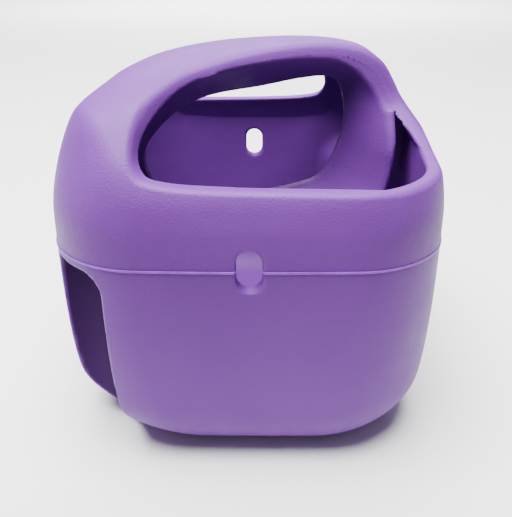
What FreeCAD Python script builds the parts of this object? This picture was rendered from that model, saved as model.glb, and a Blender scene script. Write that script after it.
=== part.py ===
import FreeCAD, Part
import math
import os

# Paw washer cup: a deep soft-moulded cup in two shells with a hood whose strap is the handle.
# Frame: millimetres, origin under the middle of the base, +X to the narrow end of the handle,
# +Y from the near side to the far side, +Z up.  The openings and grip scoops of the far side are
# those of the near side turned half a turn about the Z axis.

RIGHT_X = 76.0           # right wall from the middle plane, at the seam
LEFT_X = 77.6            # left wall from the middle plane, at the seam
HALF_Y = 90.0            # half the depth of the shell at the seam
SEAM_Z = 86.0            # where the two shells meet
RIM = 27.0               # lip of the side openings above the seam
TOP = 70.4               # top of the handle above the seam
WALL = 6.5               # shell thickness
CORNER = 36.0            # corner radius of the shell in plan
CORNER_GROWTH = 34.0     # extra corner radius at the shoulders of the hood
BASE_GROWTH = 10.0       # extra corner radius at the base
BASE_ROUND = 27.0        # rounding between the base and the walls
SIDE_BOW = 2.5           # how far the middle of each wall stands out from its corners

RING_HALF_Y = 24.0       # half the length of the guide ring along Y
RING_NECK_Y = 3.0        # half the length of the ring's narrowest band
RING_EDGE = 2.5          # thickness of the ring at its flared edges
RING_CLEAR = 0.2         # gap between the ring's outside and the shell wall
CROWN_LOW = 25.0         # underside of the ring's crown above the seam
CROWN_HALF_X = 60.5
CROWN_HALF_Y = 22.0

SLOT_WIDTH = 9.4
SLOT_HEIGHT = 16.0

GASKET_HALF = 0.6        # half the thickness of the seam gasket
GASKET_PROUD = 0.45      # how far the gasket shows outside the wall

SCOOP_RADIUS = 16.0      # grip scoops in the lower left corners
SCOOP_X = -66.0
SCOOP_Y = 75.0
SCOOP_TOP = -3.5         # top of the scoops above the seam
SCOOP_CORNER = 9.0

PIN_RADIUS = 1.5
PIN_HALF = 8.0
PIN_CLEAR = 0.05         # radial running clearance of the pins in the hood

MAT_HALF_X = 14.0        # bristle mats, one on each side of a bare lane along the middle
MAT_HALF_Y = 38.0
MAT_CENTRE_X = 24.5
MAT_CORNER = 12.0
MAT_THICK = 2.5
BRISTLE_HEIGHT = 15.0
BRISTLE_BASE = 1.7
BRISTLE_TIP = 0.8
BRISTLE_PITCH = 8.2

FOOT_RADIUS = 8.0
FOOT_DEPTH = 2.0
FOOT_X = 30.0
FOOT_Y = 42.0

CORE_HALF_Y = 7.0        # steel strip that stiffens the handle
CORE_THICK = 2.5
CORE_BURY = 1.2          # cover between the strip and the hood's inside

# Heights in the outlines below are above the seam.
# Middle outline of the hood and handle, from the left flank over the top to the right flank.
ARCH = [(-86, -40), (-81, 10), (-77.8, 26), (-73.8, 37.5), (-68.4, 46.4), (-61.3, 53),
        (-45.5, 60.4), (-33, 63.8), (-19.5, 66.4), (-2, 69), (16, TOP), (30, 69.9), (41, 68),
        (50, 64.7), (57.3, 59.3), (61.6, 52.6), (65, 46), (69.3, 39.7), (73.4, 33.8), (77, 26),
        (80, 10), (84, -40)]
# Half outline of the hood from the middle plane to the near flank.
DOME = [(0, 72), (22, 70), (38, 65), (52, 58.5), (64, 50.5), (74, 42), (82, 32.5), (88.5, 20),
        (94, 4), (100, -40)]
# Edge of the near opening in plan, from the narrow end of the strap to the near wall.
MOUTH = [(76, 9), (58, 9), (45, 9.5), (36, 11.5), (24, 16), (11, 21.5), (-4, 28.5), (-14, 34.5),
         (-24, 41.5), (-32, 51), (-38, 60), (-41.5, 68), (-43.3, 76), (-44, 84), (-44, 96)]
# The same opening seen from the side: its left edge and its lip.
MOUTH_FRONT = [(-46, 90), (-45.5, 46), (-44.5, 39), (-41.5, 34), (-36, 30.8), (-28, 28.5),
               (-18, 27.2), (0, 26), (30, 25), (100, 22)]
# Height of the opening's edge against the distance from the middle plane.
LIP = [(0, 110), (5, 66), (9.5, 52), (15, 43.5), (22.5, 37), (31, 32), (41, 28.8), (54, RIM),
       (100, RIM)]
# Narrow middle of the guide ring, and its flared mouth on each side.
RING_NECK = [(42, 34), (38.5, 19), (31.5, 7), (21.5, 2.4), (6, -1.1), (-18, -3.6), (-38, -1.5),
             (-49, 7), (-50.5, 18), (-45, 27.5), (-34, 38), (-19, 45.2), (4, 49.4), (22, 53),
             (34, 53.6), (40, 48)]
RING_MOUTH = [(59, 34), (59, 19), (55, 3), (43, -9.5), (22, -17), (-8, -19.5), (-36, -17),
              (-54, -8), (-61, 9), (-61, 25), (-54.5, 41), (-43, 50), (-30, 55), (-8, 59),
              (14, 61.5), (30, 61.5), (43, 59.5), (51, 54), (56.5, 45)]


def vec(x, y, z):
    return FreeCAD.Vector(x, y, z)


def spline(points, closed=False):
    curve = Part.BSplineCurve()
    curve.interpolate(Points=points, PeriodicFlag=closed)
    return curve.toShape()


def inset(points, distance):
    """Move an open outline inwards, square to itself (the outline runs left, over, right)."""
    moved = []
    for i, (x, z) in enumerate(points):
        before = points[max(i - 1, 0)]
        after = points[min(i + 1, len(points) - 1)]
        run = after[0] - before[0]
        rise = after[1] - before[1]
        length = math.hypot(run, rise)
        moved.append((x + distance * rise / length, z - distance * run / length))
    return moved


def prism(curve, corners, sweep):
    """Solid swept from a spline through curve, closed by straight lines through corners."""
    edges = [spline(curve)]
    path = [curve[-1]] + corners + [curve[0]]
    for start, end in zip(path, path[1:]):
        edges.append(Part.makeLine(start, end))
    return Part.Face(Part.Wire(edges)).extrude(sweep)


def shell_section(z, shrink):
    """Rounded rectangle of bowed sides at height z, moved inwards by shrink."""
    low = max(0.0, 1.0 - z / BASE_ROUND)
    tuck = BASE_ROUND * (1.0 - math.sqrt(1.0 - low * low)) * 0.85
    drop = max(0.0, 1.0 - z / SEAM_Z) ** 2
    draw_in = 1.4 * drop + 4.5 * drop * drop
    rise = min(max((z - SEAM_Z - 11.0) / 45.0, 0.0), 1.0)
    growth = CORNER_GROWTH * rise * rise * (3.0 - 2.0 * rise) + BASE_GROWTH * drop
    corner = CORNER + growth - shrink - 0.45 * tuck
    half_y = HALF_Y - shrink - tuck - 1.2 * drop
    hy = half_y - SIDE_BOW
    diagonal = corner * math.sqrt(0.5)
    edges = []
    for sx, reach in ((-1, LEFT_X), (1, RIGHT_X)):
        half_x = reach - shrink - tuck - draw_in
        hx = half_x - SIDE_BOW * 0.4
        for sy in (-1, 1):
            on_x = vec(sx * hx, sy * (hy - corner), z)
            on_y = vec(sx * (hx - corner), sy * hy, z)
            mid = vec(sx * (hx - corner + diagonal), sy * (hy - corner + diagonal), z)
            edges.append(Part.Arc(on_x, mid, on_y).toShape())
        edges.append(Part.Arc(vec(sx * hx, corner - hy, z), vec(sx * half_x, 0, z),
                              vec(sx * hx, hy - corner, z)).toShape())
    left = LEFT_X - shrink - tuck - draw_in - SIDE_BOW * 0.4 - corner
    for side in (-1, 1):
        edges.append(Part.Arc(vec(-left, side * hy, z), vec(0, side * half_y, z),
                              vec(hx - corner, side * hy, z)).toShape())
    return Part.Wire(Part.__sortEdges__(edges))


def shell_block(shrink, floor_z):
    """Everything inside the walls, from floor_z up, before the hood outline is cut."""
    heights = [0.0, 1.0, 3.0, 6.0, 10.0, 15.0, 22.0, 30.0, 56.0, SEAM_Z]
    heights += [SEAM_Z + rise for rise in (11.0, 20.0, 28.0, 36.0, 45.0, 56.0, 76.0)]
    wires = []
    for height in heights:
        wire = shell_section(height, shrink)
        wire.translate(vec(0, 0, floor_z * (1.0 - height / heights[-1])))
        wires.append(wire)
    return Part.makeLoft(wires, True, True)


def hood_block(shrink, floor_z):
    """The shell block trimmed by the arch along X and by the dome along Y."""
    arch_line = [vec(x, -120, SEAM_Z + h) for x, h in inset(ARCH, shrink)]
    arch = prism(arch_line, [vec(110, -120, -5), vec(-110, -120, -5)], vec(0, 240, 0))
    full_dome = [(-y, h) for y, h in reversed(DOME)] + DOME[1:]
    dome_line = [vec(-100, y, SEAM_Z + h) for y, h in inset(full_dome, shrink)]
    dome = prism(dome_line, [vec(-100, 110, -5), vec(-100, -110, -5)], vec(200, 0, 0))
    return shell_block(shrink, floor_z).common(arch).common(dome)


def mouth_cutter():
    """Opening in the near side of the hood: a D in plan, trimmed by its lip from two sides."""
    plan = prism([vec(x, -y, 60) for x, y in MOUTH],
                 [vec(110, -MOUTH[-1][1], 60), vec(110, -MOUTH[0][1], 60)], vec(0, 0, 125))
    front = prism([vec(x, -100, SEAM_Z + h) for x, h in MOUTH_FRONT],
                  [vec(100, -100, SEAM_Z + MOUTH_FRONT[0][1])], vec(0, 100, 0))
    side = prism([vec(-70, -y, SEAM_Z + h) for y, h in LIP],
                 [vec(-70, -LIP[-1][0], SEAM_Z + LIP[0][1])], vec(170, 0, 0))
    return plan.common(front).common(side)


def turned(shape):
    """A copy turned half a turn about the Z axis."""
    copy = shape.copy()
    copy.rotate(vec(0, 0, 0), vec(0, 0, 1), 180)
    return copy


def slot_cutter():
    """Oblong hole along Y through both walls, centred on the seam."""
    radius = SLOT_WIDTH / 2.0
    straight = SLOT_HEIGHT / 2.0 - radius
    cutter = Part.makeBox(SLOT_WIDTH, 240, 2 * straight, vec(-radius, -120, SEAM_Z - straight))
    for side in (-1, 1):
        end = Part.makeCylinder(radius, 240, vec(0, -120, SEAM_Z + side * straight), vec(0, 1, 0))
        cutter = cutter.fuse(end)
    return cutter


def scoops(extra):
    """Upright grooves in the near left and far right corners, rounded at their tops."""
    height = SEAM_Z + SCOOP_TOP + extra + 5.0
    post = Part.makeCylinder(SCOOP_RADIUS + extra, height, vec(SCOOP_X, -SCOOP_Y, -5))
    rim = [edge for edge in post.Edges if edge.Closed and edge.CenterOfMass.z > height - 6.0]
    post = post.makeFillet(SCOOP_CORNER + extra, rim)
    return [post, turned(post)]


def slab(z_low, z_high):
    return Part.makeBox(240, 240, z_high - z_low, vec(-120, -120, z_low))


def ring_wire(points, y):
    return Part.Wire([spline([vec(x, y, SEAM_Z + h) for x, h in points], closed=True)])


def pins(radius, low, high):
    """Locating pins in the middle of the wall: one at each end, two in each long wall."""
    inwards = WALL / 2.0 + 0.3
    side_y = HALF_Y - WALL / 2.0 - 0.6
    places = [(inwards - LEFT_X, 0.0), (RIGHT_X - inwards, 0.0)]
    places += [(sx * 26.0, sy * side_y) for sx in (-1, 1) for sy in (-1, 1)]
    return [Part.makeCylinder(radius, high - low, vec(x, y, low)) for x, y in places]


def feet():
    places = [(sx * FOOT_X, sy * FOOT_Y) for sx in (-1, 1) for sy in (-1, 1)]
    return [Part.makeCylinder(FOOT_RADIUS, FOOT_DEPTH, vec(x, y, 0)) for x, y in places]


def bristle_mat():
    """Flat pad with rows of tapered bristles, for the left half of the floor."""
    pad = Part.makeBox(2 * MAT_HALF_X, 2 * MAT_HALF_Y, MAT_THICK,
                       vec(-MAT_CENTRE_X - MAT_HALF_X, -MAT_HALF_Y, WALL))
    upright = [edge for edge in pad.Edges if abs(edge.tangentAt(edge.FirstParameter).z) > 0.9]
    pad = pad.makeFillet(MAT_CORNER, upright)
    columns = int((MAT_HALF_X - 3.0) / BRISTLE_PITCH)
    rows = int((MAT_HALF_Y - 3.0) / BRISTLE_PITCH)
    root_z = WALL + MAT_THICK - 0.5
    bristles = []
    for i in range(-columns, columns + 1):
        for j in range(-rows, rows + 1):
            if abs(i) == columns and abs(j) == rows:
                continue
            root = vec(i * BRISTLE_PITCH - MAT_CENTRE_X, j * BRISTLE_PITCH, root_z)
            bristles.append(Part.makeCone(BRISTLE_BASE, BRISTLE_TIP, BRISTLE_HEIGHT + 0.5, root))
    return pad.fuse(bristles)


def core_strip():
    """Arched steel strip that follows the handle just under the hood."""
    line = [(x, SEAM_Z + h - WALL - CORE_BURY) for x, h in ARCH if -40 < x < 42]
    upper = [vec(x, -CORE_HALF_Y, z) for x, z in line]
    lower = [vec(x, -CORE_HALF_Y, z - CORE_THICK) for x, z in reversed(line)]
    edges = [spline(upper), Part.makeLine(upper[-1], lower[0]),
             spline(lower), Part.makeLine(lower[-1], upper[0])]
    return Part.Face(Part.Wire(edges)).extrude(vec(0, 2 * CORE_HALF_Y, 0))


def guide_ring(mouths):
    """Spool-shaped ring under the handle: narrow in the middle, flared to both openings."""
    rim = inset(RING_MOUTH + [RING_MOUTH[0]], -RING_EDGE)[:-1]
    outer = Part.Face(ring_wire(rim, -RING_HALF_Y)).extrude(vec(0, 2 * RING_HALF_Y, 0))
    crown = Part.makeBox(2 * CROWN_HALF_X, 2 * CROWN_HALF_Y, TOP - CROWN_LOW,
                         vec(-CROWN_HALF_X, -CROWN_HALF_Y, SEAM_Z + CROWN_LOW))
    solid = outer.fuse(crown).common(hood_block(WALL + RING_CLEAR, WALL)).cut(mouths)
    neck = Part.Face(ring_wire(RING_NECK, -RING_NECK_Y)).extrude(vec(0, 2 * RING_NECK_Y, 0))
    flare = Part.makeLoft([ring_wire(RING_NECK, -RING_NECK_Y),
                           ring_wire(RING_MOUTH, -RING_HALF_Y)], True, True)
    return solid.cut([neck, flare, flare.mirror(vec(0, 0, 0), vec(0, 1, 0))])


def build():
    outer = hood_block(0.0, 0.0)
    inner = hood_block(WALL, WALL).cut(scoops(WALL - 0.5))
    slot = slot_cutter()
    near_mouth = mouth_cutter()
    mouths = [near_mouth, turned(near_mouth)]

    cup = outer.common(slab(-1, SEAM_Z - GASKET_HALF)).cut([inner, slot] + scoops(0.0))
    cup = cup.cut(pins(PIN_RADIUS, SEAM_Z - PIN_HALF, SEAM_Z)).cut(feet())
    hood = outer.common(slab(SEAM_Z + GASKET_HALF, 180)).cut([inner, slot] + mouths)
    hood = hood.cut(pins(PIN_RADIUS + PIN_CLEAR, SEAM_Z, SEAM_Z + PIN_HALF + 0.5))

    band = slab(SEAM_Z - GASKET_HALF, SEAM_Z + GASKET_HALF)
    gasket = shell_block(-GASKET_PROUD, 0.0).common(band).cut([inner, slot])
    gasket = gasket.cut(pins(PIN_RADIUS, SEAM_Z - 2, SEAM_Z + 2))

    core = core_strip()
    ring = guide_ring(mouths).cut(core)
    mat = bristle_mat()
    nodes = {"lower_shell": cup, "upper_shell": hood, "handle_core": core,
             "guide_ring_near": ring.common(Part.makeBox(200, 100, 200, vec(-100, -100, 0))),
             "guide_ring_far": ring.common(Part.makeBox(200, 100, 200, vec(-100, 0, 0))),
             "bristle_mat_left": mat, "bristle_mat_right": turned(mat),
             "locating_pins": Part.makeCompound(pins(PIN_RADIUS, SEAM_Z - PIN_HALF,
                                                     SEAM_Z + PIN_HALF))}
    foot_names = ["foot_near_left", "foot_far_left", "foot_near_right", "foot_far_right"]
    nodes.update(zip(foot_names, feet()))
    for half in gasket.Solids:
        side = "left" if half.CenterOfMass.x < 0 else "right"
        nodes["seam_gasket_" + side] = half
    return nodes


os.makedirs("parts", exist_ok=True)
for node, shape in build().items():
    box = shape.BoundBox
    print(node, "valid", shape.isValid(), "solids", len(shape.Solids), "cm3",
          round(shape.Volume / 1000.0, 2), "x", round(box.XMin, 1), round(box.XMax, 1),
          "y", round(box.YMin, 1), round(box.YMax, 1), "z", round(box.ZMin, 1), round(box.ZMax, 1))
    if len(shape.Solids) == 1:
        shape = shape.Solids[0]
    shape.exportStep("parts/" + node + ".step")
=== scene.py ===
import math

import bmesh
import bpy
import numpy as np
from mathutils import Euler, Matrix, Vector


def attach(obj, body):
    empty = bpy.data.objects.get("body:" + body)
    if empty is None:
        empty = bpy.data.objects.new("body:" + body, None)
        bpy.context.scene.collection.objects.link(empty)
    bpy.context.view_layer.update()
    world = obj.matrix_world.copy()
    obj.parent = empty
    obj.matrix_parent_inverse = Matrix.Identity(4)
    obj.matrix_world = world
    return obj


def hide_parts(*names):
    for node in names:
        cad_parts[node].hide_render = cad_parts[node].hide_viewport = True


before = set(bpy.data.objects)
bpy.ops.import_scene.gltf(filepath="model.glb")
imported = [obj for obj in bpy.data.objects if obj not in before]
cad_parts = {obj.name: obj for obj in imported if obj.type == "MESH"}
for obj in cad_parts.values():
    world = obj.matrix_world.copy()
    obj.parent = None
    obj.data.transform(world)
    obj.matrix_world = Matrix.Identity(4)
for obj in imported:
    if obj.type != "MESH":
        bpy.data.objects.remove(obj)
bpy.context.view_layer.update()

# Shape of the mouldings, in millimetres, in the frame of the CAD model.  Each moulding is a
# signed distance (negative inside), meshed on a grid and then moved exactly onto its surface.
MM = 0.001
HALF_X = 76.0
HALF_LEFT = 77.6
HALF_Y = 90.0
SEAM_Z = 86.0
RIM = 27.0
WALL = 6.5
CORNER = 36.0
SHOULDER_GROWTH = 34.0     # extra corner radius of the hood, and where it comes in
SHOULDER_LOW = 11
SHOULDER_HEIGHT = 45
BASE_GROWTH = 10.0         # extra corner radius at the base, and more of it on the left
LEFT_BASE_GROWTH = 18.0
BASE_ROUND = 27.0
DRAFT = 1.4                # how far the walls draw in towards the base
BASE_DRAFT = 4.5
LONG_DRAFT = 1.2
SIDE_BOW = 2.5
RING_HALF_Y = 24.0
RING_NECK_Y = 2.5
RING_EDGE = 2.5
RING_REACH = 44.0
RING_JOINT = 0.08          # each ring half stops this short of the middle plane
RING_BURY = 2.5            # how far the ring runs into the hood's wall
RING_SHY = 0.05            # how far the ring's surfaces lie behind the hood's
BORE_ROUND = 1.5           # rounding where the passage meets the cut faces
SLOT_WIDTH = 9.4
SLOT_HEIGHT = 16.0
GASKET_HALF = 0.4
GASKET_PROUD = 0.35
SCOOP_RADIUS = 16.0
SCOOP = (-66.0, 75.0)
SCOOP_TOP = -3.5
SCOOP_CORNER = 9.0
HOOD_ROUND = 12.0          # rounding between the arch and the dome of the hood
ARCH_LIFT = 1.3
OUTER_ROUND = 4.0
CAVITY_ROUND = 8.0
FRONT_ROUND = 7.0          # rounding of the openings' corners, seen from the side and the end
LIP_CORNER_ROUND = 5.0
LIP_ROUND = 2.2
SLOT_ROUND = 1.3
SCOOP_ROUND = 1.2
SCOOP_THINNING = 0.5       # the wall is this much thinner behind the scoops
BEVEL = 0.6                # lean of the openings' cut faces, for their depth
CROWN_LOW = 25.0
CROWN_MIDDLE_X = 0.5
CROWN_HALF_X = 60.5
CROWN_ROUND = 4.0
STRAP_MARGIN = 4.0         # the ring's flare ends this far past the strap's edge
STRAP_LEAST = 15.5
FLARE_LOW = 22             # the flare follows the strap from this height, over this rise
FLARE_RISE = 28
RING_EXTRA = 5.0           # extra length of the ring's upper part
RING_RETREAT = 14.0        # how far the ring's end is drawn back on the left
RING_END_ROUND = 1.5
CROWN_JOIN = 3.0
PASSAGE_NARROWING = 8.0    # how much narrower the hood's own passage is on the left
GASKET_ROUND = 1.0

# Outlines below give heights above the seam.
ARCH = [(-86, -40), (-81, 10), (-77.8, 26), (-73.8, 37.5), (-68.4, 46.4), (-61.3, 53),
        (-45.5, 60.4), (-33, 63.8), (-19.5, 66.4), (-2, 69), (16, 70.4), (30, 69.9), (41, 68),
        (50, 64.7), (57.3, 59.3), (61.6, 52.6), (65, 46), (69.3, 39.7), (73.4, 33.8), (77, 26),
        (80, 10), (84, -40)]
DOME = [(0, 78), (22, 73.5), (38, 67), (52, 60), (64, 51.5), (74, 42.5), (82, 33), (88.5, 20),
        (94, 4), (100, -40)]
MOUTH = [(120, 9), (76, 9), (58, 9), (45, 9.5), (36, 11.5), (24, 16), (11, 21.5), (-4, 28.5),
         (-14, 34.5), (-24, 41.5), (-32, 51), (-38, 60), (-41.5, 68), (-43.3, 76), (-44, 84),
         (-44, 96)]
MOUTH_FRONT = [(-46, 90), (-45.5, 46), (-44.5, 39), (-41.5, 34), (-36, 30.8), (-28, 28.5),
               (-18, 27.2), (0, 26), (30, 25), (100, 22)]
LIP = [(0, 110), (5, 66), (9.5, 52), (15, 43.5), (22.5, 37), (31, 32), (41, 28.8), (54, RIM),
       (100, RIM)]
RING_NECK = [(42, 34), (38.5, 19), (31.5, 7), (21.5, 2.4), (6, -1.1), (-18, -3.6), (-38, -1.5),
             (-49, 7), (-50.5, 18), (-45, 27.5), (-34, 38), (-19, 45.2), (4, 49.4), (22, 53),
             (34, 53.6), (40, 48)]
RING_MOUTH = [(59, 34), (59, 19), (55, 3), (43, -9.5), (22, -17), (-8, -19.5), (-36, -17),
              (-54, -8), (-61, 9), (-62, 25), (-56, 43), (-44, 53), (-30, 58), (-8, 61.8),
              (14, 64), (30, 63.8), (43, 61.4), (51.5, 56), (57, 47)]


# ---------------------------------------------------------------- outlines and distances

def smooth_curve(points, closed, steps=10):
    """Points along a Catmull-Rom curve through the given points."""
    p = np.array(points, float)
    if closed:
        p = np.vstack([p[-1], p, p[0], p[1]])
    else:
        p = np.vstack([2 * p[0] - p[1], p, 2 * p[-1] - p[-2]])
    t = np.linspace(0, 1, steps, endpoint=False)[:, None]
    runs = []
    for a, b, c, d in zip(p[:-3], p[1:-2], p[2:-1], p[3:]):
        runs.append(0.5 * (2 * b + (c - a) * t + (2 * a - 5 * b + 4 * c - d) * t ** 2
                           + (3 * b - a - 3 * c + d) * t ** 3))
    if not closed:
        runs.append(p[-2][None, :])
    return np.vstack(runs)


class Outline:
    """Signed distance to a closed flat outline, kept on a fine grid and read between its nodes."""

    def __init__(self, points, step=0.8, margin=60.0):
        low = points.min(0) - margin
        high = points.max(0) + margin
        self.low, self.step = low, step
        self.shape = np.ceil((high - low) / step).astype(int) + 1
        gu, gv = np.meshgrid(low[0] + step * np.arange(self.shape[0]),
                             low[1] + step * np.arange(self.shape[1]), indexing="ij")
        nearest = np.full(gu.shape, 1e9)
        crossings = np.zeros(gu.shape, int)
        for (u0, v0), (u1, v1) in zip(points, np.roll(points, -1, axis=0)):
            du, dv = u1 - u0, v1 - v0
            length = du * du + dv * dv
            if length < 1e-12:
                continue
            t = np.clip(((gu - u0) * du + (gv - v0) * dv) / length, 0, 1)
            nearest = np.minimum(nearest, (gu - u0 - t * du) ** 2 + (gv - v0 - t * dv) ** 2)
            if dv != 0:
                spans = (gv >= v0) != (gv >= v1)
                crossings += spans & (u0 + (gv - v0) * du / dv > gu)
        self.values = np.sqrt(nearest) * np.where(crossings % 2 == 1, -1, 1)

    def __call__(self, u, v):
        fu = np.clip((u - self.low[0]) / self.step, 0, self.shape[0] - 1.001)
        fv = np.clip((v - self.low[1]) / self.step, 0, self.shape[1] - 1.001)
        i, j = fu.astype(int), fv.astype(int)
        a, b = fu - i, fv - j
        g = self.values
        return ((1 - a) * ((1 - b) * g[i, j] + b * g[i, j + 1])
                + a * ((1 - b) * g[i + 1, j] + b * g[i + 1, j + 1]))


def closed_by(curve, *extra):
    return np.vstack([curve, np.array(extra, float)])


def cut(a, b):
    """Intersection."""
    return np.maximum(a, b)


def round_cut(a, b, r):
    """Intersection whose outer edge is rounded to radius r."""
    return (np.minimum(-r, np.maximum(a, b))
            + np.hypot(np.maximum(a + r, 0), np.maximum(b + r, 0)))


def round_join(a, b, r):
    return -round_cut(-a, -b, r)


arch_map = Outline(closed_by(smooth_curve(ARCH, False), (84, -140), (-84, -140)))
dome_curve = smooth_curve(DOME, False)
dome_map = Outline(np.vstack([dome_curve, [(100, -140), (-100, -140)],
                              dome_curve[:0:-1] * (-1, 1)]))
mouth_map = Outline(closed_by(smooth_curve(MOUTH, False), (-44, 120), (120, 120)))
front_map = Outline(closed_by(smooth_curve(MOUTH_FRONT, False), (100, 90)))
lip_map = Outline(closed_by(smooth_curve(LIP, False), (100, 121), (0, 121)))
neck_map = Outline(smooth_curve(RING_NECK, True))
flare_map = Outline(smooth_curve(RING_MOUTH, True))
strap_x, strap_y = np.array(MOUTH[12:1:-1], float).T


def ease(t):
    t = np.clip(t, 0, 1)
    return t * t * (3 - 2 * t)


def envelope(x, y, z):
    """Outside of the whole body with no openings; y is the distance from the middle plane."""
    h = z - SEAM_Z
    t = np.maximum(0, -h / SEAM_Z)
    base_growth = (BASE_GROWTH + np.where(x < 0, LEFT_BASE_GROWTH, 0.0) * t ** 4) * t ** 2
    shoulder_growth = SHOULDER_GROWTH * ease((h - SHOULDER_LOW) / SHOULDER_HEIGHT)
    corner = CORNER + shoulder_growth + base_growth
    half_x = np.where(x < 0, HALF_LEFT, HALF_X) - DRAFT * t ** 2 - BASE_DRAFT * t ** 4
    half_y = HALF_Y - LONG_DRAFT * t ** 2
    bow_x = 0.4 * SIDE_BOW * (y / HALF_Y) ** 2
    bow_y = SIDE_BOW * (x / HALF_X) ** 2
    qx = np.abs(x) - (half_x - bow_x - corner)
    qy = y - (half_y - bow_y - corner)
    beyond = np.hypot(np.maximum(qx, 0), np.maximum(qy, 0))
    plan = beyond + np.minimum(np.maximum(qx, qy), 0) - corner
    top = round_cut(arch_map(x, h - ARCH_LIFT), dome_map(y, h), HOOD_ROUND)
    return round_cut(round_cut(plan, -z, BASE_ROUND), top, OUTER_ROUND)


def scoops(x, y, z):
    post = np.hypot(x - SCOOP[0], y - SCOOP[1]) - SCOOP_RADIUS
    return round_cut(post, z - SEAM_Z - SCOOP_TOP, SCOOP_CORNER)


def painted_scoop_shade(x, y, z):
    """Painted shade in the grip scoops: their walls are darkened where the light does not reach,
    strongest on the side next to the long wall.
    """
    turned = np.where(y < 0, x, -x)
    depth = -envelope(x, np.abs(y), z)
    near = np.abs(scoops(turned, np.abs(y), z))
    shade_strength = 0.80 + 0.20 * ease((turned + 64) / 11)
    return shade_strength * ease((1.6 - near) / 1.0) * ease((depth - 0.2) / 1.6)


def slot(x, z):
    straight = (SLOT_HEIGHT - SLOT_WIDTH) / 2
    return np.hypot(x, np.maximum(np.abs(z - SEAM_Z) - straight, 0)) - SLOT_WIDTH / 2


def cavity(x, y, z, outside):
    return round_cut(outside + WALL, WALL - SCOOP_THINNING - scoops(x, y, z), CAVITY_ROUND)


def mouth(turned, y, h, outside):
    """Opening in one side of the hood; its cut face leans outwards as it goes in."""
    lean = BEVEL * WALL * (1 - np.exp(np.minimum(outside, 0) / WALL))
    side = round_cut(mouth_map(turned, y) + lean, front_map(turned, h), FRONT_ROUND)
    return round_cut(side, lip_map(y, h), LIP_CORNER_ROUND)


def bore(x, turned, y, h):
    """Passage through the ring, flared to the cut faces of both openings, and where it ends."""
    strap = np.clip(np.interp(turned, strap_x, strap_y) + STRAP_MARGIN, 0, RING_REACH)
    upper = ease((h - FLARE_LOW) / FLARE_RISE)
    reach = RING_HALF_Y + (np.maximum(strap, STRAP_LEAST) - RING_HALF_Y) * upper
    t = np.clip((y - RING_NECK_Y) / (reach - RING_NECK_Y), 0, 1)
    extra = RING_EXTRA * upper * ease((40 - turned) / 20)
    end = reach + extra - RING_RETREAT * ease((-20 - turned) / 14)
    return (1 - t) * neck_map(x, h) + t * flare_map(x, h), end


def shells(x, y, z):
    """Both shells together; the far half is the near half turned half a turn.

    The inner edge of each opening is rounded only where the ring doesn't carry on from it.
    """
    turned = np.where(y < 0, x, -x)
    outside = envelope(x, np.abs(y), z)
    y = np.abs(y)
    opening = mouth(turned, y, z - SEAM_Z, outside)
    clear_of_ring = np.maximum.reduce([ease((y - RING_REACH - 4) / 6), ease((turned - 62) / 6),
                                       0.35 * ease((turned - 42) / 8), ease((-10 - turned) / 12)])
    body = cut(round_cut(outside, -opening, LIP_ROUND),
               round_cut(-cavity(turned, y, z, outside), -opening, LIP_ROUND * clear_of_ring))
    passage, end = bore(x, turned, y, z - SEAM_Z)
    passage = passage + PASSAGE_NARROWING * ease((-10 - turned) / 18)
    body = round_cut(body, -np.maximum(passage, y - end), BORE_ROUND)
    body = round_cut(body, -slot(x, z), SLOT_ROUND)
    return round_cut(body, -scoops(turned, y, z), SCOOP_ROUND)


def gasket(x, y, z):
    """Thin band in the seam, a little proud of the outside."""
    turned = np.where(y < 0, x, -x)
    outside = envelope(x, np.abs(y), z)
    band = cut(outside - GASKET_PROUD, -cavity(turned, np.abs(y), z, outside))
    return round_cut(band, -slot(x, z), GASKET_ROUND)


def ring(x, y, z):
    """Spool under the handle, buried a little in the hood."""
    turned = np.where(y < 0, x, -x)
    outside = envelope(x, np.abs(y), z)
    y = np.abs(y)
    h = z - SEAM_Z
    passage, end = bore(x, turned, y, h)
    crown = round_cut(CROWN_LOW - h, np.abs(x - CROWN_MIDDLE_X) - CROWN_HALF_X, CROWN_ROUND)
    solid = round_join(flare_map(x, h) - RING_EDGE, crown, CROWN_JOIN)
    solid = round_cut(solid, y - end, RING_END_ROUND)
    solid = cut(solid, RING_SHY - mouth(turned, y, h, outside))
    solid = round_cut(solid, RING_SHY - passage, BORE_ROUND)
    return cut(solid, outside + WALL - RING_BURY)


# ---------------------------------------------------------------- meshing

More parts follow.
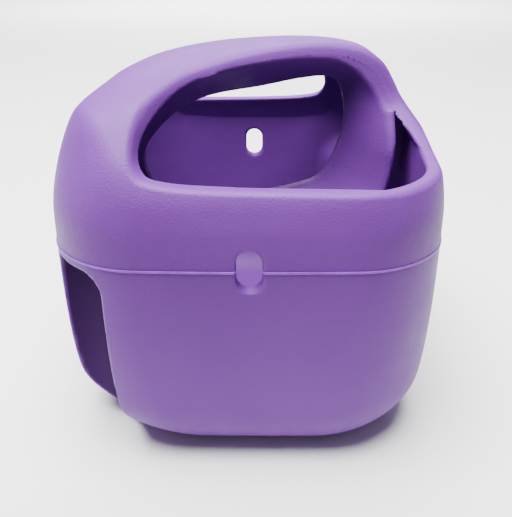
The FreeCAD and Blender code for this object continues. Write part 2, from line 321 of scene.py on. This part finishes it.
def surface_quads(field):
    """Naive surface nets: one vertex in each cell that the surface crosses, one quad per edge."""
    inside = field < 0
    nx, ny, nz = field.shape
    total = np.zeros((nx - 1, ny - 1, nz - 1, 3))
    count = np.zeros((nx - 1, ny - 1, nz - 1))
    for axis in range(3):
        others = [a for a in range(3) if a != axis]
        for da in (0, 1):
            for db in (0, 1):
                start = [slice(0, nx - 1), slice(0, ny - 1), slice(0, nz - 1)]
                shift = [0, 0, 0]
                shift[others[0]], shift[others[1]] = da, db
                near = tuple(slice(s, s + n - 1) for s, n in zip(shift, (nx, ny, nz)))
                shift[axis] = 1
                far = tuple(slice(s, s + n - 1) for s, n in zip(shift, (nx, ny, nz)))
                f0, f1 = field[near], field[far]
                mask = inside[near] != inside[far]
                t = f0[mask] / (f0[mask] - f1[mask])
                place = np.zeros((t.size, 3))
                place[:, axis] = t
                place[:, others[0]] = da
                place[:, others[1]] = db
                total[mask] += place
                count[mask] += 1
    cells = np.argwhere(count > 0)
    index = np.full(count.shape, -1)
    index[tuple(cells.T)] = np.arange(len(cells))
    points = cells + total[tuple(cells.T)] / count[tuple(cells.T)][:, None]
    quads = []
    for axis in range(3):
        u, v = (axis + 1) % 3, (axis + 2) % 3
        near = [slice(1, -1)] * 3
        far = [slice(1, -1)] * 3
        near[axis] = slice(0, -1)
        far[axis] = slice(1, None)
        change = inside[tuple(near)] != inside[tuple(far)]
        at = np.argwhere(change)
        base = at.copy()
        base[:, u] += 1
        base[:, v] += 1
        corners = []
        for du, dv in ((0, 0), (1, 0), (1, 1), (0, 1)):
            cell = base.copy()
            cell[:, u] -= 1 - du
            cell[:, v] -= 1 - dv
            corners.append(index[tuple(cell.T)])
        quad = np.stack(corners, axis=1)
        solid_first = inside[tuple(near)][tuple(at.T)]
        quad[~solid_first] = quad[~solid_first][:, ::-1]
        quads.append(quad)
    return points, np.vstack(quads)


def gradient(shape, p, eps=0.25):
    g = np.zeros_like(p)
    for axis in range(3):
        step = np.zeros(3)
        step[axis] = eps
        a, b = p + step, p - step
        g[:, axis] = (shape(*a.T) - shape(*b.T)) / (2 * eps)
    return g


def rough_solid(shape, low, high, step):
    """Mesh a signed distance and settle its vertices on the surface."""
    low = np.array(low, float)
    counts = np.ceil((np.array(high) - low) / step).astype(int) + 1
    axes = [low[a] + step * np.arange(counts[a]) for a in range(3)]
    field = np.empty(counts)
    for i, x in enumerate(axes[0]):
        gy, gz = np.meshgrid(axes[1], axes[2], indexing="ij")
        field[i] = shape(np.full_like(gy, x), gy, gz)
    field[:, :, [0, -1]] = step
    points, quads = surface_quads(field)
    p = low + points * step
    inner = (p[:, 2] > low[2] + step) & (p[:, 2] < axes[2][-1] - step)
    for _ in range(4):
        q = p[inner]
        g = gradient(shape, q)
        f = shape(q[:, 0], q[:, 1], q[:, 2])
        move = f[:, None] * g / np.maximum((g * g).sum(1), 0.25)[:, None]
        p[inner] = q - np.clip(move, -0.6 * step, 0.6 * step)
    mesh = bpy.data.meshes.new("rough")
    mesh.vertices.add(len(p))
    mesh.vertices.foreach_set("co", p.astype(np.float32).ravel())
    mesh.loops.add(len(quads) * 4)
    mesh.loops.foreach_set("vertex_index", quads.astype(np.int32).ravel())
    mesh.polygons.add(len(quads))
    mesh.polygons.foreach_set("loop_start", np.arange(0, len(quads) * 4, 4, dtype=np.int32))
    mesh.update(calc_edges=True)
    mesh.validate()
    solid = bmesh.new()
    solid.from_mesh(mesh)
    bpy.data.meshes.remove(mesh)
    return solid


def trim(solid, place, normal):
    """Cut everything off on the normal's side of a plane and close the cut flat."""
    parts = solid.verts[:] + solid.edges[:] + solid.faces[:]
    made = bmesh.ops.bisect_plane(solid, geom=parts, plane_co=place, plane_no=normal,
                                  dist=0.0005, clear_outer=True)
    rim = [e for e in made["geom_cut"] if isinstance(e, bmesh.types.BMEdge) and e.is_valid
           and len(e.link_faces) == 1]
    cap = bmesh.ops.triangle_fill(solid, edges=rim, use_beauty=True, normal=normal)
    for face in cap["geom"]:
        if isinstance(face, bmesh.types.BMFace):
            face.material_index = 1


def moulding(name, solid, shape, body, slot_name, material, *nodes):
    """Make a trimmed solid the piece that stands for its nodes, with its shape's true normals.

    Its vertices carry "edge" (paler where edges wear, and a painted highlight where the piece
    stands proud of the shell) and a tone of painted shade for the grip scoops, for the material.
    """
    bmesh.ops.recalc_face_normals(solid, faces=solid.faces[:])
    mesh = bpy.data.meshes.new(name)
    solid.to_mesh(mesh)
    solid.free()
    p = np.empty(len(mesh.vertices) * 3)
    mesh.vertices.foreach_get("co", p)
    p = p.reshape(-1, 3)
    normals = gradient(shape, p, 0.35)
    normals /= np.maximum(np.linalg.norm(normals, axis=1), 1e-9)[:, None]
    spread = gradient(shape, p + 0.8 * normals, 0.35) - gradient(shape, p - 0.8 * normals, 0.35)
    ahead = shape(*(p + 1.5 * normals).T) + shape(*(p - 1.5 * normals).T)
    wear_and_highlight_level = np.clip(np.linalg.norm(spread, axis=1) * 0.5 + np.abs(ahead), 0, 1)
    # Where a piece stands proud of the shell's outside, as the gasket's ridge does, it gets full
    # paleness: a painted highlight where that ridge catches the light.
    wear_and_highlight_level = np.maximum(wear_and_highlight_level, ease((envelope(p[:, 0], np.abs(p[:, 1]), p[:, 2]) - 0.1) / 0.2))
    # Tones for the material: edge wear with a painted highlight on proud parts, and painted shade
    # in the grip scoops.
    for tone, values in (("edge", wear_and_highlight_level), ("painted_scoop_shade", painted_scoop_shade(*p.T))):
        mesh.attributes.new(tone, "FLOAT", "POINT").data.foreach_set(
            "value", values.astype(np.float32))
    corner_of = np.empty(len(mesh.loops), np.int32)
    mesh.loops.foreach_get("vertex_index", corner_of)
    sizes = np.empty(len(mesh.polygons), np.int32)
    mesh.polygons.foreach_get("loop_total", sizes)
    flat = np.empty(len(mesh.polygons), np.int32)
    mesh.polygons.foreach_get("material_index", flat)
    faces = np.empty(len(mesh.polygons) * 3)
    mesh.polygons.foreach_get("normal", faces)
    faces = np.repeat(faces.reshape(-1, 3), sizes, axis=0)
    corners = normals[corner_of]
    sharp = (np.repeat(flat, sizes) == 1) | ((corners * faces).sum(1) < 0.6)
    corners[sharp] = faces[sharp]
    mesh.polygons.foreach_set("material_index", np.zeros(len(mesh.polygons), np.int32))
    mesh.polygons.foreach_set("use_smooth", np.ones(len(mesh.polygons), bool))
    mesh.vertices.foreach_set("co", (p * MM).astype(np.float32).ravel())
    mesh.normals_split_custom_set(corners.tolist())
    mesh.update()
    piece = bpy.data.objects.new(name, mesh)
    bpy.context.scene.collection.objects.link(piece)
    mesh.materials.append(material)
    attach(piece, body)
    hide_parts(*nodes)
    print(name, len(p), "vertices")
    return piece


# ---------------------------------------------------------------- materials

def soft_moulding(name, colour, light, roughness=0.5, grain=1500, wear_and_highlight_level=0.5, lift=1.2):
    """Matte soft plastic: faint colour drift, moulded grain, paler edges from wear (and on proud
    parts such as the gasket's ridge a painted highlight), painted shade in the grip scoops, and
    small scuffs.
    """
    m = bpy.data.materials.new(name)
    m.use_nodes = True
    nodes, links = m.node_tree.nodes, m.node_tree.links
    bsdf = nodes["Principled BSDF"]
    coords = nodes.new("ShaderNodeTexCoord")

    def noise(scale, detail, rough=0.5):
        n = nodes.new("ShaderNodeTexNoise")
        n.inputs["Scale"].default_value = scale
        n.inputs["Detail"].default_value = detail
        n.inputs["Roughness"].default_value = rough
        links.new(coords.outputs["Object"], n.inputs["Vector"])
        return n

    def span(source, low, high, to_low, to_high):
        r = nodes.new("ShaderNodeMapRange")
        for socket, value in (("From Min", low), ("From Max", high), ("To Min", to_low),
                              ("To Max", to_high)):
            r.inputs[socket].default_value = value
        links.new(source, r.inputs["Value"])
        return r.outputs["Result"]

    def blend(first, second, factor):
        mix = nodes.new("ShaderNodeMix")
        mix.data_type = "RGBA"
        for socket, value in (("A", first), ("B", second)):
            if isinstance(value, tuple):
                mix.inputs[socket].default_value = (*value, 1)
            else:
                links.new(value, mix.inputs[socket])
        links.new(factor, mix.inputs["Factor"])
        return mix.outputs["Result"]

    drift = noise(14, 3)
    scuff = noise(70, 8, 0.72)
    base = blend(colour, light, span(drift.outputs["Fac"], 0.35, 0.65, 0, 1))
    tones = {}
    for tone in ("edge", "painted_scoop_shade"):
        tones[tone] = nodes.new("ShaderNodeAttribute")
        tones[tone].attribute_name = tone
    wear_and_highlight = nodes.new("ShaderNodeMath")
    wear_and_highlight.operation = "MULTIPLY"
    links.new(tones["edge"].outputs["Fac"], wear_and_highlight.inputs[0])
    links.new(span(scuff.outputs["Fac"], 0.3, 0.7, 0.15 * wear_and_highlight_level, wear_and_highlight_level), wear_and_highlight.inputs[1])
    # Paler colour for wear on edges, and for the painted highlight on proud parts.
    pale = tuple(min(1.0, lift * c + 0.01) for c in light)
    # Colour of the painted shade in the grip scoops.
    painted_shade_colour = tuple(0.12 * c for c in colour)
    wear_and_highlight_base = blend(base, pale, wear_and_highlight.outputs["Value"])
    # Paint the shade of the grip scoops over the base colour, and take most of the specular sheen
    # out where it is painted.
    links.new(blend(wear_and_highlight_base, painted_shade_colour, tones["painted_scoop_shade"].outputs["Fac"]), bsdf.inputs["Base Color"])
    links.new(span(tones["painted_scoop_shade"].outputs["Fac"], 0, 1, 0.2, 0.02),
              bsdf.inputs["Specular IOR Level"])
    links.new(span(scuff.outputs["Fac"], 0.3, 0.7, roughness - 0.06, roughness + 0.09),
              bsdf.inputs["Roughness"])
    pits = noise(grain, 2)
    waves = noise(45, 2)
    height = nodes.new("ShaderNodeMath")
    height.operation = "MULTIPLY_ADD"
    height.inputs[1].default_value = 3.0
    links.new(waves.outputs["Fac"], height.inputs[0])
    links.new(pits.outputs["Fac"], height.inputs[2])
    bump = nodes.new("ShaderNodeBump")
    bump.inputs["Strength"].default_value = 0.8
    bump.inputs["Distance"].default_value = 0.0002
    links.new(height.outputs["Value"], bump.inputs["Height"])
    links.new(bump.outputs["Normal"], bsdf.inputs["Normal"])
    return m


def strip_steel(name):
    """Plain rolled strip: fine grain and cloudy roughness."""
    m = soft_moulding(name, (0.50, 0.50, 0.51), (0.58, 0.58, 0.59), 0.38, 900, 0.0)
    m.node_tree.nodes["Principled BSDF"].inputs["Metallic"].default_value = 1.0
    return m


LAVENDER = (0.116, 0.0235, 0.222)
LAVENDER_LIGHT = (0.129, 0.028, 0.243)
shell_material = soft_moulding("shell_lavender", LAVENDER, LAVENDER_LIGHT)
ring_material = soft_moulding("ring_lavender", LAVENDER, LAVENDER_LIGHT)
# The gasket is painted much paler along its edges and where it stands proud (lift 2.6): a painted
# highlight, as its ridge catches the light.
gasket_material = soft_moulding("gasket_lilac", LAVENDER, LAVENDER_LIGHT, 0.45, wear_and_highlight_level=0.9, lift=2.6)
bristle_material = soft_moulding("bristle_lavender", (0.124, 0.026, 0.240),
                                 (0.140, 0.032, 0.265), 0.5)
pin_material = soft_moulding("pin_nylon", (0.66, 0.64, 0.70), (0.72, 0.70, 0.76), 0.4, 700)
foot_material = soft_moulding("foot_purple", (0.08, 0.035, 0.20), (0.10, 0.05, 0.24), 0.7, 600)
core_material = strip_steel("core_steel")

# ---------------------------------------------------------------- camera, light and floor

camera_data = bpy.data.cameras.new("camera")
camera = bpy.data.objects.new("camera", camera_data)
bpy.context.scene.collection.objects.link(camera)
bpy.context.scene.camera = camera
FOCAL = 634.0
FRAME_HEIGHT = 517.0
camera_data.sensor_width = 36.0
camera_data.lens = FOCAL / FRAME_HEIGHT * 36.0
camera_data.shift_y = -52.1 / FRAME_HEIGHT
camera.location = (0.0040, -0.288, 0.187)
camera.rotation_euler = Euler((math.radians(90 - 21.0), 0, math.radians(0.46)), "XYZ")



def studio_floor():
    """Pale floor that falls off to grey in front of the cup, so that it throws up less light."""
    m = bpy.data.materials.new("floor_white")
    m.use_nodes = True
    nodes, links = m.node_tree.nodes, m.node_tree.links
    bsdf = nodes["Principled BSDF"]
    place = nodes.new("ShaderNodeTexCoord")
    split = nodes.new("ShaderNodeSeparateXYZ")
    tone = nodes.new("ShaderNodeMapRange")
    for socket, value in (("From Min", -0.28), ("From Max", -0.10), ("To Min", 0.12),
                          ("To Max", 0.8)):
        tone.inputs[socket].default_value = value
    links.new(place.outputs["Object"], split.inputs["Vector"])
    links.new(split.outputs["Y"], tone.inputs["Value"])
    links.new(tone.outputs["Result"], bsdf.inputs["Base Color"])
    bsdf.inputs["Roughness"].default_value = 0.9
    mesh = bpy.data.meshes.new("floor")
    mesh.from_pydata([(-4, -4, 0), (4, -4, 0), (4, 4, 0), (-4, 4, 0)], [], [(0, 1, 2, 3)])
    mesh.materials.append(m)
    floor = bpy.data.objects.new("floor", mesh)
    bpy.context.scene.collection.objects.link(floor)


def area_light(name, place, aim, size, watts):
    data = bpy.data.lights.new(name, "AREA")
    data.shape = "DISK"
    data.size = size
    data.energy = watts
    lamp = bpy.data.objects.new(name, data)
    bpy.context.scene.collection.objects.link(lamp)
    lamp.location = place
    lamp.rotation_euler = (Vector(aim) - Vector(place)).to_track_quat("-Z", "Y").to_euler()
    return lamp


studio_floor()
area_light("top", (-0.20, -0.10, 1.5), (0, 0, 0.05), 1.5, 145)
area_light("backdrop", (0, 3.0, 1.7), (0, 3.6, 0), 2.8, 330)
world = bpy.data.worlds.new("studio")
bpy.context.scene.world = world
world.use_nodes = True
world.node_tree.nodes["Background"].inputs["Color"].default_value = (1, 1, 1, 1)
world.node_tree.nodes["Background"].inputs["Strength"].default_value = 0.2

# ---------------------------------------------------------------- pieces

lower = rough_solid(shells, (-81, -93, -2), (79, 93, SEAM_Z + 3), 1.35)
trim(lower, (0, 0, SEAM_Z - GASKET_HALF), (0, 0, 1))
moulding("lower_shell_moulding", lower, shells, "cup", "shell", shell_material, "lower_shell")

upper = rough_solid(shells, (-81, -93, SEAM_Z - 3), (79, 93, 162), 1.15)
trim(upper, (0, 0, SEAM_Z + GASKET_HALF), (0, 0, -1))
moulding("upper_shell_moulding", upper, shells, "hood", "shell", shell_material, "upper_shell")

band = rough_solid(gasket, (-81, -94, SEAM_Z - 3.2), (80, 94, SEAM_Z + 3.2), 0.8)
trim(band, (0, 0, SEAM_Z + GASKET_HALF), (0, 0, 1))
trim(band, (0, 0, SEAM_Z - GASKET_HALF), (0, 0, -1))
moulding("seam_gasket_moulding", band, gasket, "cup", "gasket", gasket_material,
         "seam_gasket_left", "seam_gasket_right")

for side, half in ((-1, "near"), (1, "far")):
    y_low, y_high = (-46, 2.5) if side < 0 else (-2.5, 46)
    spool = rough_solid(ring, (-67, y_low, 60), (67, y_high, 158), 1.0)
    trim(spool, (0, side * RING_JOINT, 0), (0, -side, 0))
    moulding("guide_ring_" + half + "_moulding", spool, ring, "hood", "ring", ring_material,
             "guide_ring_" + half)

finishes = {"foot": foot_material, "bristle": bristle_material, "locating": pin_material,
            "handle": core_material}
for node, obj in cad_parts.items():
    for start, finish in finishes.items():
        if node.startswith(start):
            obj.data.materials.clear()
            obj.data.materials.append(finish)
